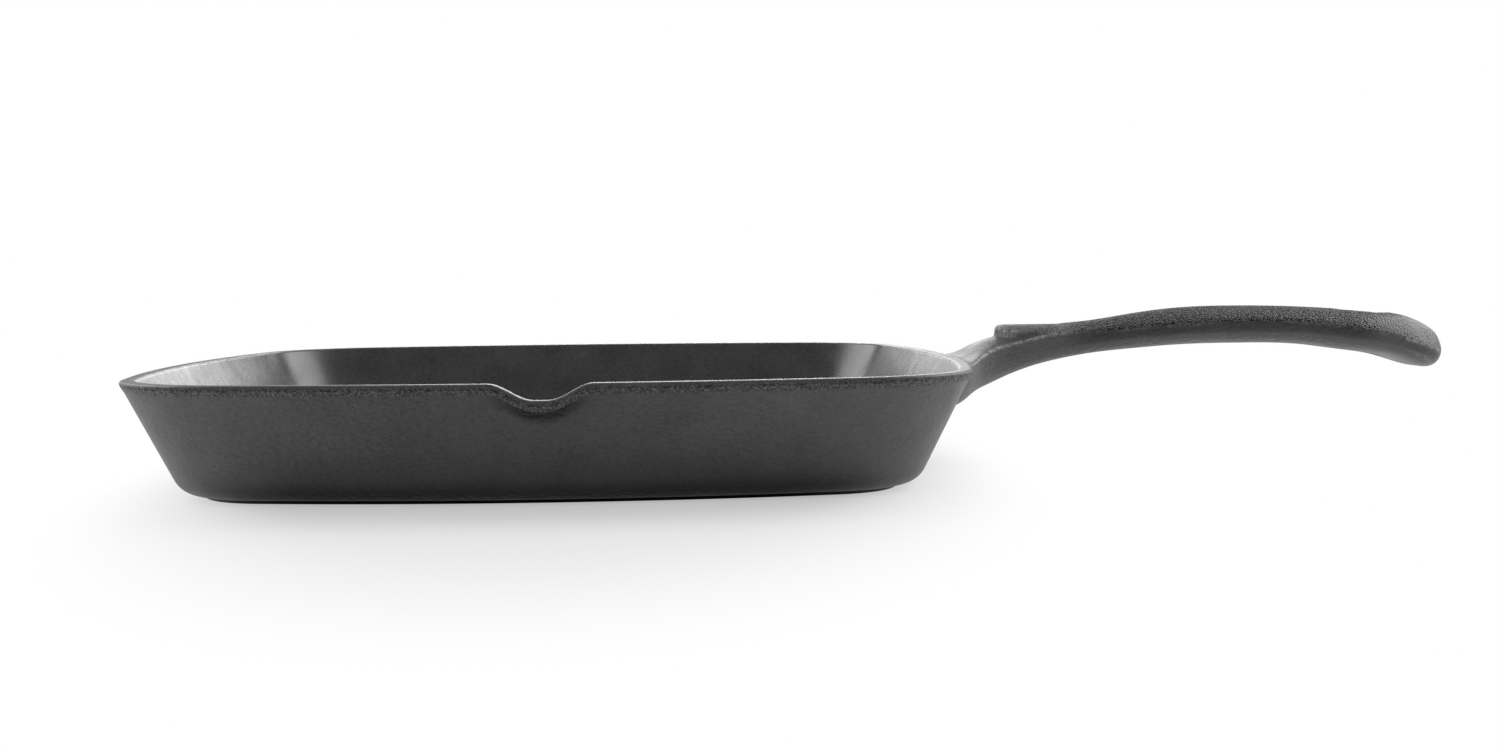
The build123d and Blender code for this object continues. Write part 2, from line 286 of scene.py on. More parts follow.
def inner_inset(z):
    """The same for the inner face."""
    return outer_inset(z) + WALL_THICKNESS / math.cos(FLARE_ANGLE)


def smooth(t):
    """From 0 to 1 as t does, level at both ends."""
    t = np.clip(t, 0, 1)
    return t * t * (3 - 2 * t)


def rising(value, start, width):
    """0 up to start, then up to 1 over a width."""
    return smooth((value - start) / width)


def falling(value, end, width):
    """Down from 1 over a width, and 0 from end on."""
    return smooth((end - value) / width)


def side_angles(fine):
    """Directions along one side, closer together where the pouring lip is."""
    width = SIDE_RADIUS * math.sin(SIDE_TURN)
    if not fine:
        count = int(2 * width / SIDE_STEP)
        return np.linspace(-SIDE_TURN, SIDE_TURN, count, endpoint=False)
    near = LIP_WIDTH / 2 + LIP_STEP
    outer = np.linspace(-width, -near, int((width - near) / SIDE_STEP), endpoint=False)
    middle = np.linspace(-near, near, int(2 * near / LIP_STEP), endpoint=False)
    last = np.linspace(near, width, int((width - near) / SIDE_STEP), endpoint=False)
    return np.arcsin(np.concatenate([outer, middle, last]) / SIDE_RADIUS)


def outline_stations():
    """Arc centre, radius and direction of each point round the rim."""
    centres, radii, turns = [], [], []
    corner_sweep = math.pi / 2 - 2 * SIDE_TURN
    corner_count = int(RIM_CORNER_RADIUS * corner_sweep / CORNER_STEP)
    for quarter in range(4):
        base = quarter * math.pi / 2
        spin = np.array([[math.cos(base), -math.sin(base)], [math.sin(base), math.cos(base)]])
        for angle in side_angles(quarter == 3):
            centres.append(spin @ (SIDE_CENTRE, 0))
            radii.append(SIDE_RADIUS)
            turns.append(base + angle)
        for angle in np.linspace(0, corner_sweep, corner_count, endpoint=False):
            centres.append(spin @ (CORNER_CENTRE, CORNER_CENTRE))
            radii.append(RIM_CORNER_RADIUS)
            turns.append(base + SIDE_TURN + angle)
    turns = np.array(turns)
    return np.array(centres), np.array(radii), np.stack([np.cos(turns), np.sin(turns)], axis=1)


CENTRES, RADII, DIRECTIONS = outline_stations()


def outline(inset):
    """Points of the plan shape, a set distance inside the rim line."""
    return CENTRES + (RADII - inset)[:, None] * DIRECTIONS


def corner_arc(before, here, after, radius):
    """Points of the arc that rounds one corner of a profile."""
    to_before = (before - here) / np.linalg.norm(before - here)
    to_after = (after - here) / np.linalg.norm(after - here)
    half = math.acos(np.clip(to_before @ to_after, -1, 1)) / 2
    bisector = (to_before + to_after) / np.linalg.norm(to_before + to_after)
    centre = here + bisector * radius / math.sin(half)
    first = here + to_before * radius / math.tan(half) - centre
    last = here + to_after * radius / math.tan(half) - centre
    sweep = math.pi - 2 * half
    steps = max(2, int(radius * sweep / ARC_STEP))
    arc = []
    for step in range(steps + 1):
        share = step / steps
        blend = math.sin((1 - share) * sweep) * first + math.sin(share * sweep) * last
        arc.append(centre + blend / math.sin(sweep))
    return arc


def rounded(corners, spacing=PROFILE_STEP):
    """Profile of (inset, height, radius) corners, each turned into an arc, evenly divided."""
    points = [np.array(c[:2], float) for c in corners]
    path = [points[0]]
    for before, here, after, corner in zip(points, points[1:], points[2:], corners[1:-1]):
        if corner[2] == 0:
            path.append(here)
        else:
            path += corner_arc(before, here, after, corner[2])
    path.append(points[-1])
    fine = [path[0]]
    for a, b in zip(path, path[1:]):
        count = max(1, int(np.linalg.norm(b - a) / spacing))
        fine += [a + (b - a) * k / count for k in range(1, count + 1)]
    return fine


def lip_share(x, y):
    """How far into the pouring lip a point is, from 0 outside it to 1 across its mouth."""
    half = LIP_WIDTH / 2
    return falling(np.abs(x), half, half - LIP_MOUTH_WIDTH / 2) * (y < -HALF_SPAN / 2)


def lip_shape(points):
    """Dips and swells the middle of the near side into the pouring lip."""
    x, y, z = points.T
    across = lip_share(x, y)
    dip = rising(z, BAND_BOTTOM - LIP_FADE, LIP_FADE)
    swell = rising(z, BAND_BOTTOM - LIP_COLLAR_FADE, LIP_COLLAR_FADE)
    lowered = LIP_DIP * across * dip
    return np.stack([x, y + FLARE * lowered - LIP_REACH * across * swell, z - lowered], axis=1)


# Meshes
def new_mesh(name, points, faces, sharp_degrees):
    """A smooth-shaded piece from points in millimetres."""
    mesh = bpy.data.meshes.new(name)
    mesh.from_pydata((np.asarray(points) * MM).tolist(), [], faces)
    mesh.validate()
    mesh.shade_smooth()
    mesh.set_sharp_from_angle(angle=math.radians(sharp_degrees))
    return placed(name, mesh)


def placed(name, data):
    """A new object in the scene."""
    piece = bpy.data.objects.new(name, data)
    bpy.context.scene.collection.objects.link(piece)
    return piece


def loops_to_mesh(name, loops, closed_profile, inside_from=None):
    """A mesh from loops of points: joined one to the next, and capped or joined at the ends.
    Faces from the row inside_from onwards take the second material."""
    count = len(loops[0])
    faces = []
    total = len(loops)
    last = total if closed_profile else total - 1
    for row in range(last):
        below = row * count
        above = ((row + 1) % total) * count
        for k in range(count):
            after = (k + 1) % count
            faces.append((below + k, below + after, above + after, above + k))
    if not closed_profile:
        faces.append(tuple(reversed(range(count))))
        faces.append(tuple(range((total - 1) * count, total * count)))
    piece = new_mesh(name, np.concatenate(loops), faces, SHARP_DEGREES)
    if inside_from is not None:
        rows = [int(k >= inside_from * count) for k in range(last * count)]
        rows += [0, 1] if not closed_profile else []
        piece.data.polygons.foreach_set("material_index", rows)
    return piece


def swept(profile, shape):
    """Loops of the plan outline, one for each point of a profile."""
    loops = []
    for inset, z in profile:
        plan = outline(inset)
        loops.append(shape(np.column_stack([plan, np.full(len(plan), z)])))
    return loops


def shrunk(loop, share):
    """A loop drawn in towards the middle of the pan."""
    return loop * np.array([share, share, 1])


def mark(piece, name, amount):
    """An amount at each vertex, for the material to read: how pebbly or how polished it is, or how much
    painted shade or highlight it takes.
    """
    count = len(piece.data.vertices)
    layer = piece.data.attributes.new(name, "FLOAT", "POINT")
    layer.data.foreach_set("value", np.broadcast_to(amount, count).astype(np.float32))


# Bowl
def make_bowl():
    """Foot, floor and wall in one shell, up to the underside of the band."""
    foot = outer_inset(FOOT_HEIGHT) + OUTER_HEEL_RADIUS * HEEL_TANGENT + FOOT_SETBACK
    drain = inner_inset(FLOOR_TOP) + INNER_HEEL_RADIUS * HEEL_TANGENT + DRAIN_WIDTH
    collar = BAND_BOTTOM - 2 * LIP_SHADE_DEPTH
    outer = rounded([
        (foot + DRAIN_WIDTH, 0, 0),
        (foot, 0, FOOT_EDGE_RADIUS),
        (foot, FOOT_HEIGHT, FOOT_EDGE_RADIUS),
        (outer_inset(FOOT_HEIGHT), FOOT_HEIGHT, OUTER_HEEL_RADIUS),
        (outer_inset(collar), collar, 0),
    ])
    outer += rounded([(outer_inset(z), z, 0) for z in (collar, BAND_BOTTOM)], COLLAR_STEP)[1:]
    inner = rounded([
        (inner_inset(BAND_BOTTOM), BAND_BOTTOM, 0),
        (inner_inset(FLOOR_TOP), FLOOR_TOP, INNER_HEEL_RADIUS),
        (drain, FLOOR_TOP, 0),
    ])
    sides = swept(outer, lip_shape) + swept(inner, lip_shape)
    under = [shrunk(sides[0], share) for share in MIDDLE_SHARES]
    cooking = [shrunk(sides[-1], share) for share in reversed(MIDDLE_SHARES)]
    loops = under + sides + cooking
    bowl = loops_to_mesh("bowl_shell", loops, False, inside_from=len(under) + len(outer))
    mark_bowl(bowl, *np.concatenate(loops).T)
    return bowl


def mark_bowl(bowl, x, y, z):
    """Painted shade beneath the lip and towards the foot, and the spread of the orange peel."""
    share = lip_share(x, y)
    below = BAND_BOTTOM - LIP_DIP * share - z
    beside = np.abs(x)
    # Darker towards the foot and under the lip's collar: painted shade in the colour and the specular
    low = falling(z, HEEL_SHADE_HEIGHT, HEEL_SHADE_HEIGHT)
    lowest = falling(z, FOOT_SHADE_HEIGHT, FOOT_SHADE_HEIGHT)
    heel = HEEL_SHADE * low * falling(beside, HEEL_SHADE_END, HEEL_SHADE_FADE)
    foot = FOOT_SHADE * lowest * falling(beside, FOOT_SHADE_END, FOOT_SHADE_FADE)
    under_lip = LIP_SHADE_DARK * np.sqrt(share) * falling(below, LIP_SHADE_DEPTH, LIP_SHADE_DEPTH)
    mark(bowl, "painted_shade", np.maximum(heel + foot, under_lip))
    leftward = PEEL_RIGHT + (1 - PEEL_RIGHT) * falling(x, PEEL_RIGHT_END, PEEL_RIGHT_FADE)
    across = PEEL_AT_ENDS + (1 - PEEL_AT_ENDS) * falling(beside, PEEL_END, PEEL_END_FADE) * leftward
    upward = PEEL_AT_FOOT + (1 - PEEL_AT_FOOT) * rising(z, PEEL_FOOT_START, PEEL_FOOT_FADE)
    mark(bowl, "peel", across * upward)


# Rim
def make_rim():
    """Thickened band round the rim, dipping into the pouring lip."""
    start = outer_inset(BAND_BOTTOM)
    profile = rounded([
        (start, BAND_BOTTOM, 0),
        (start - BAND_PROUD, BAND_BOTTOM + BAND_STEP, BAND_STEP),
        (0, PAN_HEIGHT, BAND_EDGE_RADIUS),
        (inner_inset(PAN_HEIGHT), PAN_HEIGHT, BAND_EDGE_RADIUS),
        (inner_inset(BAND_BOTTOM), BAND_BOTTOM, 0),
    ], COLLAR_STEP)
    inset, height = np.array(profile).T
    inside = (inset > start) & (height < PAN_HEIGHT - BAND_EDGE_RADIUS * RIM_INSIDE_SHARE)
    outer_rows = len(profile) - int(np.sum(inside))
    rim = loops_to_mesh("rim_and_lip", swept(profile, lip_shape), True, inside_from=outer_rows)
    top = smooth(inset / BAND_EDGE_RADIUS) * (height > PAN_HEIGHT - BAND_EDGE_RADIUS)
    # A line of painted shade just beneath the rim's outer edge
    below = (PAN_HEIGHT - height) / BAND_EDGE_RADIUS
    line = rising(below, RIM_SHADE_START, 1) * falling(below, RIM_SHADE_END, RIM_SHADE_FADE)
    line *= inset < BAND_EDGE_RADIUS
    around = len(CENTRES)
    mark(rim, "pebbles", np.repeat(1 - RIM_TOP_BARE * top, around))
    mark(rim, "polish", np.repeat(RIM_POLISH * top, around))
    mark(rim, "painted_shade", np.repeat(RIM_SHADE * line, around))
    mark(rim, "peel", RIM_PEEL)
    return rim


# Ribs
def edge_at(inset, across):
    """Distance from the middle to the outline at a place across it."""
    plan = outline(inset)
    near = plan[plan[:, 0] > 0]
    order = np.argsort(near[:, 1])
    return float(np.interp(across, near[order, 1], near[order, 0]))


def stadium(y, length, radius, z):
    """A rib's plan: straight sides and round ends."""
    run = length / 2 - radius
    ends = np.linspace(-math.pi / 2, math.pi / 2, RIB_END_POINTS)
    right = np.column_stack([run + radius * np.cos(ends), y + radius * np.sin(ends)])
    left = np.column_stack([-run - radius * np.cos(ends), y - radius * np.sin(ends)])
    plan = np.concatenate([right, left])
    return np.column_stack([plan, np.full(len(plan), z)])


def make_ribs():
    """Parallel ribs with drafted sides, soft tops and a fillet along their feet."""
    lean = RIB_HEIGHT * math.tan(math.radians(RIB_DRAFT_DEGREES))
    room = inner_inset(FLOOR_TOP) + INNER_HEEL_RADIUS * HEEL_TANGENT + DRAIN_WIDTH
    count = int((HALF_SPAN - room - RIB_WIDTH / 2) // RIB_PITCH)
    profile = rounded([
        (-2 * RIB_FOOT_RADIUS, -RIB_SUNK, 0),
        (-2 * RIB_FOOT_RADIUS, 0, RIB_SUNK / 2),
        (0, 0, RIB_FOOT_RADIUS),
        (lean, RIB_HEIGHT, RIB_TOP_RADIUS),
        (RIB_WIDTH / 2 - RIB_SUNK / 4, RIB_HEIGHT, 0),
    ])
    points, faces = [], []
    for step in range(-count, count + 1):
        y = step * RIB_PITCH
        length = 2 * edge_at(room, abs(y) + RIB_WIDTH / 2)
        base = len(points)
        around = 2 * RIB_END_POINTS
        for inset, z in profile:
            points.extend(stadium(y, length - 2 * inset, RIB_WIDTH / 2 - inset, FLOOR_TOP + z))
        for row in range(len(profile) - 1):
            for k in range(around):
                after = (k + 1) % around
                low = base + row * around
                faces.append((low + k, low + after, low + around + after, low + around + k))
        faces.append(tuple(base + k for k in reversed(range(around))))
        top = base + (len(profile) - 1) * around
        faces.append(tuple(top + k for k in range(around)))
    return new_mesh("rib_loaves", points, faces, RIB_SHARP_DEGREES)


# Handle
def wall_block():
    """A stretch of the outer wall beside the handle, for the root to melt into."""
    stations = np.abs(CENTRES[:, 1] + (RADII * DIRECTIONS[:, 1])) < MELT_REACH
    stations &= CENTRES[:, 0] + RADII * DIRECTIONS[:, 0] > HALF_SPAN / 2
    order = np.argsort(DIRECTIONS[stations][:, 1])
    profile = rounded([
        (outer_inset(MELT_LOW), MELT_LOW, 0),
        (outer_inset(BAND_BOTTOM), BAND_BOTTOM, 0),
        (outer_inset(BAND_BOTTOM) - BAND_PROUD, BAND_BOTTOM, 0),
        (0, PAN_HEIGHT, BAND_EDGE_RADIUS),
        (MELT_DEPTH, PAN_HEIGHT, 0),
        (MELT_DEPTH + outer_inset(MELT_LOW), MELT_LOW, 0),
    ])
    rows = []
    for inset, z in profile:
        plan = outline(inset)[stations][order]
        rows.append(np.column_stack([plan, np.full(len(plan), z)]))
    columns = np.stack(rows, axis=1)
    return loops_to_mesh("wall_block", list(columns), False)


def melted_casting():
    """Root, thumb rest, grip and a stretch of wall, remeshed as one skin."""
    block = wall_block()
    sources = [bpy.data.objects[name].data for name in ("handle_root", "thumb_rest", "handle_grip")]
    points, faces = [], []
    for mesh in sources + [block.data]:
        base = len(points)
        points.extend([tuple(v.co / MM) for v in mesh.vertices])
        faces.extend([tuple(base + i for i in p.vertices) for p in mesh.polygons])
    bpy.data.objects.remove(block)
    piece = new_mesh("handle_casting", points, faces, NEVER_SHARP_DEGREES)
    melt = piece.modifiers.new("melt", "REMESH")
    melt.mode = "VOXEL"
    melt.voxel_size = MELT_VOXEL * MM
    melt.adaptivity = 0
    graph = bpy.context.evaluated_depsgraph_get()
    mesh = bpy.data.meshes.new_from_object(piece.evaluated_get(graph))
    piece.modifiers.clear()
    piece.data = mesh
    return piece


def neighbours_mean(values, edges):
    """Mean of each vertex's neighbours, for one or more columns of values."""
    count = len(values)
    total = np.zeros_like(values)
    for axis in range(values.shape[1]):
        total[:, axis] = np.bincount(edges[:, 0], values[edges[:, 1], axis], count)
        total[:, axis] += np.bincount(edges[:, 1], values[edges[:, 0], axis], count)
    degree = np.bincount(edges.ravel(), minlength=count)
    return total / degree[:, None]


def eased(place, edges, weight, rounds):
    """Places drawn towards the mean of their neighbours."""
    place = place.copy()
    for _ in range(rounds):
        place += weight * (neighbours_mean(place, edges) - place)
    return place


def outside_bowl(points):
    """How far each point lies outside the bowl's outer surface, near the handle."""
    x, y, z = points.T
    inset = SIDE_RADIUS - np.hypot(x - SIDE_CENTRE, y)
    surface = outer_inset(z) - BAND_PROUD * (z > BAND_BOTTOM)
    beside = (surface - inset) * math.cos(FLARE_ANGLE)
    return np.maximum(beside, z - PAN_HEIGHT)


def move_vertices(mesh, place):
    """Moves the vertices to places in millimetres and gives their normals there."""
    mesh.vertices.foreach_set("co", (place * MM).ravel())
    mesh.update()
    normals = np.empty(place.size)
    mesh.vertex_normals.foreach_get("vector", normals)
    return normals.reshape(-1, 3)


def make_handle():
    """Root, thumb rest and grip as one casting that melts into the wall."""
    piece = melted_casting()
    mesh = piece.data
    flat = np.empty(len(mesh.vertices) * 3)
    mesh.vertices.foreach_get("co", flat)
    place = flat.reshape(-1, 3) / MM
    pairs = np.empty(len(mesh.edges) * 2, dtype=np.int32)
    mesh.edges.foreach_get("vertices", pairs)
    edges = pairs.reshape(-1, 2)
    near_root = falling(place[:, 0], HALF_SPAN + ROOT_END, ROOT_END_FADE)
    near_root = near_root * falling(place[:, 2], ROOT_TOP, ROOT_TOP_FADE)
    weight = EASE * (EASE_ALONG_GRIP + (1 - EASE_ALONG_GRIP) * near_root)[:, None]
    place = eased(place, edges, weight, EASE_ROUNDS)
    normals = move_vertices(mesh, place)
    sink = MELT_SINK * (1 - smooth(outside_bowl(place) / MELT_SINK_FADE))
    place -= sink[:, None] * normals
    move_vertices(mesh, place)
    mesh.shade_smooth()
    mark_handle(piece, place, normals, edges)
    return piece


def mark_handle(piece, place, normals, edges):
    """Pebbles, polish and painted shade along the handle, a painted highlight on the nose, and convex
    edges lightened by wear and painted highlight.
    """
    along = place[:, 0] - HALF_SPAN
    rise = normals[:, 2]
    crest = rising(rise, CREST_RISE, CREST_RISE_FADE)
    tip = rising(along, TIP_START, TIP_FADE) * (1 - CREST_KEPT * crest)
    crown = rising(rise, CROWN_RISE, CROWN_RISE_FADE) * rising(along, CROWN_START, CROWN_FADE)
    nose = rising(-normals[:, 0], NOSE_FACING, NOSE_FACING_FADE) * rising(along, NOSE_START, NOSE_FADE)
    web = (1 - rising(along, WEB_END, WEB_FADE)) * rising(rise, 0, WEB_RISE_FADE)
    mark(piece, "pebbles", np.maximum(crown, nose) * (1 - TIP_BARE * tip))
    mark(piece, "polish", np.maximum(np.maximum(tip, WEB_POLISH * web), NOSE_POLISH * nose))
    mark(piece, "peel", HANDLE_PEEL)

    # Painted shade on the grip's sides below the shoulder and on its crown, less of it at the tip
    spread = eased(rise[:, None], edges, 1, SHOULDER_ROUNDS)[:, 0]
    by_shoulder = rising(rise, -SIDE_RISE_FADE, SIDE_RISE_FADE)
    by_shoulder = by_shoulder * (1 - rising(spread, SHOULDER_RISE, SHOULDER_RISE_FADE))
    shade = np.maximum(SIDE_SHADE * by_shoulder, CROWN_SHADE * crown)
    grip = rising(along, GRIP_SHADE_START, GRIP_SHADE_FADE)
    mark(piece, "painted_shade", shade * grip * (1 - TIP_SHADE_LOST * tip))

    # Convex edges lightened by wear and painted highlight; the nose's face by painted highlight
    bulge = np.sum((place - eased(place, edges, EASE, WEAR_ROUNDS)) * normals, axis=1)
    on_grip = rising(along, GRIP_WEAR_START, GRIP_WEAR_FADE)
    on_grip = on_grip * (1 - rising(along, GRIP_WEAR_END, GRIP_WEAR_FADE))
    edge_wear_and_highlight = (1 - GRIP_WEAR_LOST * on_grip) * rising(bulge, WEAR_START, WEAR_FADE)
    nose_highlight = NOSE_HIGHLIGHT * nose * (1 - rising(along, NOSE_HIGHLIGHT_END, NOSE_HIGHLIGHT_FADE))
    mark(piece, "wear_and_highlight", np.maximum(nose_highlight, edge_wear_and_highlight))


# Materials
class Tree:
    """The shader nodes of a material or of the world."""

    def __init__(self, owner):
        owner.use_nodes = True
        self.nodes = owner.node_tree.nodes
        self.links = owner.node_tree.links

    def feed(self, node, inputs):
        """Gives each input of a node its value, or links it."""
        for socket, value in inputs.items():
            if isinstance(value, bpy.types.NodeSocket):
                self.links.new(value, node.inputs[socket])
            else:
                node.inputs[socket].default_value = value

    def add(self, kind, inputs, **settings):
        """A new node with its settings and inputs."""
        node = self.nodes.new("ShaderNode" + kind)
        for name, value in settings.items():
            setattr(node, name, value)
        self.feed(node, inputs)
        return node

    def combined(self, operation, first, second):
        return self.add("Math", {0: first, 1: second}, operation=operation).outputs["Value"]

    def stretched(self, place, factors):
        return self.add("VectorMath", {0: place, 1: factors}, operation="MULTIPLY").outputs["Vector"]

    def noise(self, place, scale, detail):
        return self.add("TexNoise", {"Vector": place, "Scale": scale, "Detail": detail}).outputs["Fac"]

    def scaled(self, value, low, high, start=0.25, end=0.75):
        """A value between start and end, brought between low and high."""
        bounds = {"From Min": start, "From Max": end, "To Min": low, "To Max": high}
        return self.add("MapRange", {"Value": value, **bounds}).outputs["Result"]

    def blend(self, factor, first, second):
        sockets = {"Factor": factor, "A": first, "B": second}
        return self.add("Mix", sockets, data_type="RGBA").outputs["Result"]

    def marked(self, attribute):
        return self.add("Attribute", {}, attribute_name=attribute).outputs["Fac"]

    def bump(self, inputs):
        return self.add("Bump", inputs).outputs["Normal"]

    def mixed(self, factor, first, second):
        return self.add("MixShader", {0: factor, 1: first, 2: second}).outputs["Shader"]

    def looked_at(self):
        """1 for the rays of the camera and those that metal or glass send on, else 0."""
        path = self.add("LightPath", {})
        value = path.outputs["Is Camera Ray"]
        for name in ("Is Glossy Ray", "Is Transmission Ray"):
            value = self.combined("MAXIMUM", value, path.outputs[name])
        return value


def grey(level):
    """A grey of some level, opaque."""
    return (level, level, level, 1)


def iron(name, dark, light, roughness, outside):
    """Black cast iron with a fine grain. The outside also has orange peel, pebbles and polish
    where the mesh is marked so, and painted shade, a darker colour and less specular, where it is marked
    so."""
    material = bpy.data.materials.new(name)
    tree = Tree(material)
    place = tree.add("TexCoord", {}).outputs["Object"]
    flat = tree.stretched(place, FLAT_GRAIN)
    mottle = tree.scaled(tree.noise(place, MOTTLE_SCALE, 5), 0, 0.5)
    speckle = tree.scaled(tree.noise(flat, SPECKLE_SCALE, 2), 0, 0.5)
    colour = tree.blend(tree.combined("ADD", mottle, speckle), (*dark, 1), (*light, 1))
    rough = tree.scaled(tree.noise(place, DULL_SCALE, 4), roughness - GLOSSIER, roughness + DULLER)
    surface = tree.bump({"Height": tree.noise(place, WAVE_SCALE, 2), "Distance": WAVE_HEIGHT})
    finish = {"IOR": 1.5, "Specular IOR Level": SPECULAR}
    if outside:
        pebble = tree.add("TexVoronoi", {"Vector": place, "Scale": PEBBLE_SCALE}, feature="SMOOTH_F1")
        colour, shade = pebbled_colour(tree, place, pebble.outputs["Distance"], colour)
        surface = pebbled_surface(tree, flat, pebble.outputs["Distance"], surface)
        gloss = tree.scaled(tree.marked("polish"), 0, -POLISH_GLOSS, 0, POLISH_RANGE)
        rough = tree.combined("ADD", rough, gloss)
        finish["Specular IOR Level"] = tree.scaled(shade, SPECULAR, 0, 0, 1)
        finish["Sheen Weight"] = SHEEN
        finish["Sheen Roughness"] = SHEEN_ROUGHNESS
    grain = {"Height": tree.noise(place, GRAIN_SCALE, 2), "Distance": GRAIN_HEIGHT, "Normal": surface}
    finish.update({"Base Color": colour, "Roughness": rough, "Normal": tree.bump(grain)})
    tree.feed(tree.nodes["Principled BSDF"], finish)
    return material


def pebbled_colour(tree, place, distance, colour):
    """Painted highlight on the pebbles' crests and painted shade in their gaps, by the distance from a
    pebble's middle, then the marked painted shade, and wear with painted highlight over all. Gives the
    colour and the shade."""
    pebbly = tree.marked("pebbles")
    crest_highlight = tree.scaled(distance, PEBBLE_CREST_HIGHLIGHT, PEBBLE_CREST_HIGHLIGHT_LEAST, PEBBLE_CREST_START, PEBBLE_CREST_END)
    colour = tree.blend(tree.combined("MULTIPLY", crest_highlight, pebbly), colour, grey(PEBBLE_HIGHLIGHT_GREY))
    gap_shade = tree.scaled(distance, 0, PEBBLE_GAP_SHADE, PEBBLE_GAP_START, PEBBLE_GAP_END)
    shade = tree.combined("ADD", tree.combined("MULTIPLY", gap_shade, pebbly), tree.marked("painted_shade"))
    colour = tree.blend(shade, colour, grey(0))
    spots = tree.noise(place, WEAR_AND_HIGHLIGHT_SCALE, 3)
    patches = tree.scaled(spots, WEAR_AND_HIGHLIGHT_LEAST, WEAR_AND_HIGHLIGHT_MOST, WEAR_AND_HIGHLIGHT_PATCH_START, WEAR_AND_HIGHLIGHT_PATCH_END)
    worn_and_highlit = tree.combined("MULTIPLY", tree.marked("wear_and_highlight"), patches)
    return tree.blend(worn_and_highlit, colour, grey(WEAR_AND_HIGHLIGHT_GREY)), shade


def pebbled_surface(tree, flat, distance, surface):
    """Orange peel where the iron is neither pebbly nor polished, and the pebbles' relief."""
    pebbly = tree.marked("pebbles")
    busy = tree.combined("MAXIMUM", pebbly, tree.marked("polish"))
    plain = tree.combined("MULTIPLY", tree.scaled(busy, 1, 0, 0, 1), tree.marked("peel"))
    peel = {"Height": tree.noise(flat, PEEL_SCALE, 3), "Distance": PEEL_HEIGHT}
    surface = tree.bump({**peel, "Strength": plain, "Normal": surface})
    relief = {"Height": distance, "Distance": -PEBBLE_HEIGHT}
    return tree.bump({**relief, "Strength": pebbly, "Normal": surface})


# Studio
def place_axes(piece, across, upward, towards, place):
    """Turns and places an object by its three axes and its place, in metres."""
    matrix = Matrix.Identity(4)
    for row in range(3):
        for column, axis in enumerate((across, upward, towards, place)):
            matrix[row][column] = axis[row]
    piece.matrix_world = matrix


def make_camera():
    """The photograph's view: from the near side, a little above the rim."""
    azimuth = math.radians(CAMERA_AZIMUTH)
    elevation = math.radians(CAMERA_ELEVATION)
    roll = math.radians(CAMERA_ROLL)
    forward = np.array([
        math.sin(azimuth) * math.cos(elevation),
        math.cos(azimuth) * math.cos(elevation),
        -math.sin(elevation),
    ])
    right = np.array([math.cos(azimuth), -math.sin(azimuth), 0])
    up = np.cross(right, forward)
    across = math.cos(roll) * right + math.sin(roll) * up
    upward = -math.sin(roll) * right + math.cos(roll) * up
    data = bpy.data.cameras.new("camera")
    data.sensor_fit = "HORIZONTAL"
    data.sensor_width = SENSOR_WIDTH
    data.lens = FOCAL_PIXELS / PICTURE_PIXELS * SENSOR_WIDTH
    data.clip_start = NEAREST
    data.clip_end = FARTHEST
    camera = placed("camera", data)
    place_axes(camera, across, upward, -forward, (CAMERA_TARGET - forward * CAMERA_DISTANCE) * MM)
    bpy.context.scene.camera = camera


def make_world():
    """Even white surroundings."""
    world = bpy.data.worlds.new("studio")
    tree = Tree(world)
    bpy.context.scene.world = world
    light = tree.nodes["Background"]
    tree.feed(light, {"Color": grey(1), "Strength": WORLD_LIGHT})
    seen = tree.add("Background", {"Color": grey(1), "Strength": 1.0})
    mix = tree.mixed(tree.looked_at(), light.outputs["Background"], seen.outputs["Background"])
    tree.feed(tree.nodes["World Output"], {"Surface": mix})


def sheet(name, material_name, corners):
    """A flat sheet with a material of its own. Gives the sheet and the material's nodes."""
    mesh = bpy.data.meshes.new(name)
    mesh.from_pydata(corners, [], [(0, 1, 2, 3)])
    material = bpy.data.materials.new(material_name)
    mesh.materials.append(material)
    return placed(name, mesh), Tree(material)


def make_floor():
    """Pale floor, seen darker round the pan as a painted broad shadow over the lamps' own, that turns
    into the white surroundings away from the pan.
    """
    size = FLOOR_SIZE
    corners = [(-size, -size, 0), (size, -size, 0), (size, size, 0), (-size, size, 0)]
    floor, tree = sheet("floor", "pale_floor", corners)
    shader = tree.nodes["Principled BSDF"]
    colour = tree.blend(tree.looked_at(), grey(FLOOR_GREY), grey(FLOOR_SHADOW_GREY_SEEN))
    tree.feed(shader, {"Base Color": colour, "Roughness": FLOOR_ROUGHNESS, "Specular IOR Level": 0.0})
    white = tree.add("Emission", {"Strength": 1.0})
    place = tree.add("TexCoord", {}).outputs["Object"]
    oval = tree.add("VectorMath", {0: place, 1: OVAL_STRETCH, 2: OVAL_SHIFT}, operation="MULTIPLY_ADD")
    spread = tree.add("VectorMath", {0: oval.outputs["Vector"]}, operation="LENGTH")
    # Near the pan the seen floor mixes its lit grey with white: a painted broad shadow that also lifts
    # the lamps' shadow
    lift = tree.combined("MULTIPLY", tree.looked_at(), FLOOR_LIFT)
    fade = {"From Min": FLOOR_FADE_START, "From Max": FLOOR_FADE_END, "To Min": lift}
    fade["Value"] = spread.outputs["Value"]
    far = tree.add("MapRange", fade, interpolation_type="SMOOTHSTEP")
    mix = tree.mixed(far.outputs["Result"], shader.outputs["BSDF"], white.outputs["Emission"])
    tree.feed(tree.nodes["Material Output"], {"Surface": mix})


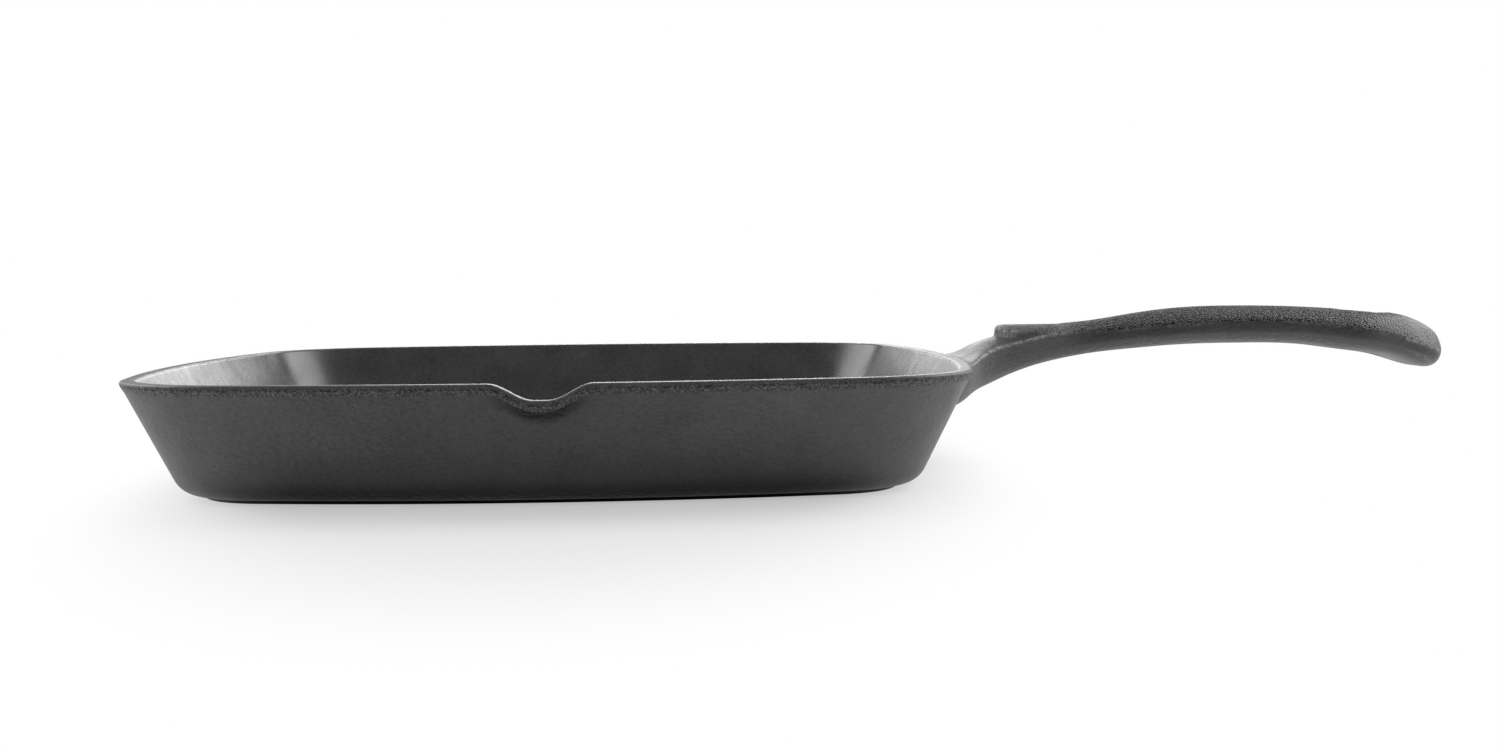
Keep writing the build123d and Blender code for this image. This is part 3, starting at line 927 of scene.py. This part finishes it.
def make_canopy():
    """Dark cloth over the set, seen only in reflections, as a photographer would hang it."""
    reach = CANOPY_REACH
    corners = [(-reach, reach), (reach, reach), (reach, -reach), (-reach, -reach)]
    canopy, tree = sheet("canopy", "dark_cloth", [(x, y, CANOPY_HEIGHT) for x, y in corners])
    cloth = {"Base Color": grey(CANOPY_GREY), "Roughness": 1.0, "Specular IOR Level": 0.0}
    tree.feed(tree.nodes["Principled BSDF"], cloth)
    canopy.visible_camera = False
    canopy.visible_diffuse = False
    canopy.visible_shadow = False


def make_panel(name, azimuth, elevation, distance, width, height, radiance):
    """A soft panel that faces the pan, placed by its direction: 0 is behind, +X at 90."""
    data = bpy.data.lights.new(name, "AREA")
    data.shape = "RECTANGLE"
    data.size = width
    data.size_y = height
    data.energy = math.pi * width * height * radiance
    around = math.radians(azimuth)
    up = math.radians(elevation)
    back = np.array([math.sin(around) * math.cos(up), math.cos(around) * math.cos(up), math.sin(up)])
    side = np.cross((0, 0, 1), back)
    side /= np.linalg.norm(side)
    place_axes(placed(name, data), side, np.cross(back, side), back, back * distance)


def dress(piece, materials, *nodes):
    """Gives a piece its materials, and hides the construction's pieces that it replaces."""
    for material in materials:
        piece.data.materials.append(material)
    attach(piece, "root")
    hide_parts(*nodes)


cast = iron("cast_iron", (0.031, 0.031, 0.0312), (0.073, 0.0722, 0.0715), 0.52, True)
seasoned = iron("seasoned_iron", (0.03, 0.03, 0.0302), (0.084, 0.0833, 0.0825), 0.26, False)
dress(make_bowl(), [cast, seasoned], "base_foot", "pan_floor", "pan_wall")
dress(make_rim(), [cast, seasoned], "rim_band", "pouring_lip")
dress(make_ribs(), [seasoned], "grill_ribs")
dress(make_handle(), [cast], "handle_root", "thumb_rest", "handle_grip")
make_camera()
make_world()
make_floor()
make_canopy()
make_panel("back_panel", 2, 22, 3.2, 0.9, 1.05, 3.8)
make_panel("back_right_panel", 9, 14, 3.3, 0.75, 0.8, 2.15)
make_panel("back_left_panel", -5, 14, 3.3, 0.75, 0.8, 2.3)
make_panel("right_panel", 60, 33, 2.9, 2.0, 1.5, 4.6)
make_panel("left_panel", -60, 33, 2.9, 2.0, 1.5, 4.4)
bpy.context.scene.view_settings.view_transform = "Standard"
